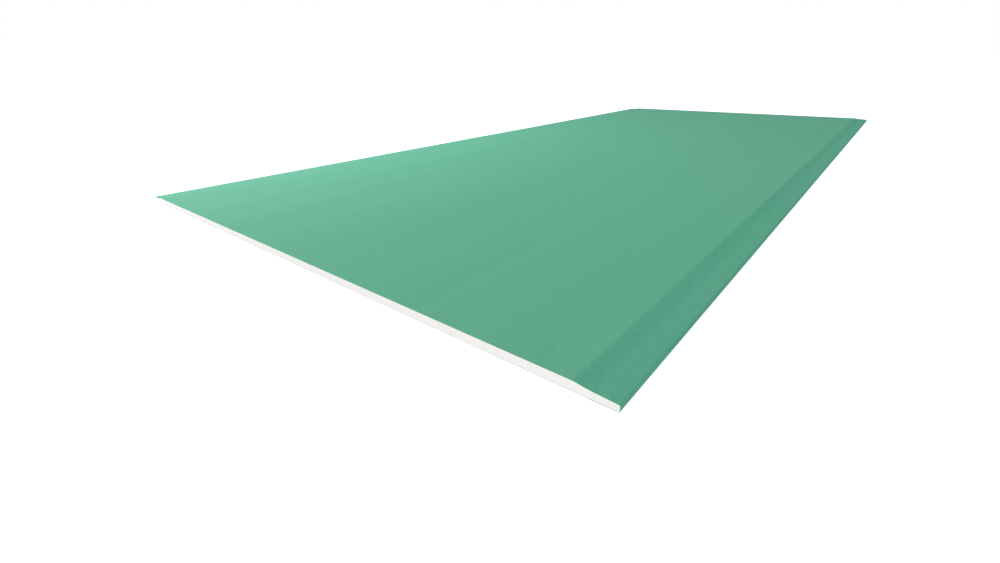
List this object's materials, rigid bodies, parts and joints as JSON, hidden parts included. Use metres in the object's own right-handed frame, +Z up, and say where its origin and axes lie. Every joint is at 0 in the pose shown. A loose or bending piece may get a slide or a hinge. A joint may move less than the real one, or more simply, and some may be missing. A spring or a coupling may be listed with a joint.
{
  "type": "drywall sheet",
  "caption": "Rectangular gypsum wallboard sheet with a green paper face folded round tapered long edges, a grey back paper and square-cut white ends.",
  "frame": {"origin": "centre of the sheet's underside, on the floor", "axes": "+X along the length, +Y across the width, +Z up out of the green face"},
  "size_m": [2.6, 1.2, 0.0125],
  "materials": {
    "gypsum": "matte",
    "face_paper": "matte",
    "back_paper": "matte"
  },
  "bodies": {
    "root": {"gypsum_core": "gypsum", "face_paper": "face_paper", "back_paper": "back_paper"}
  },
  "joints": []
}
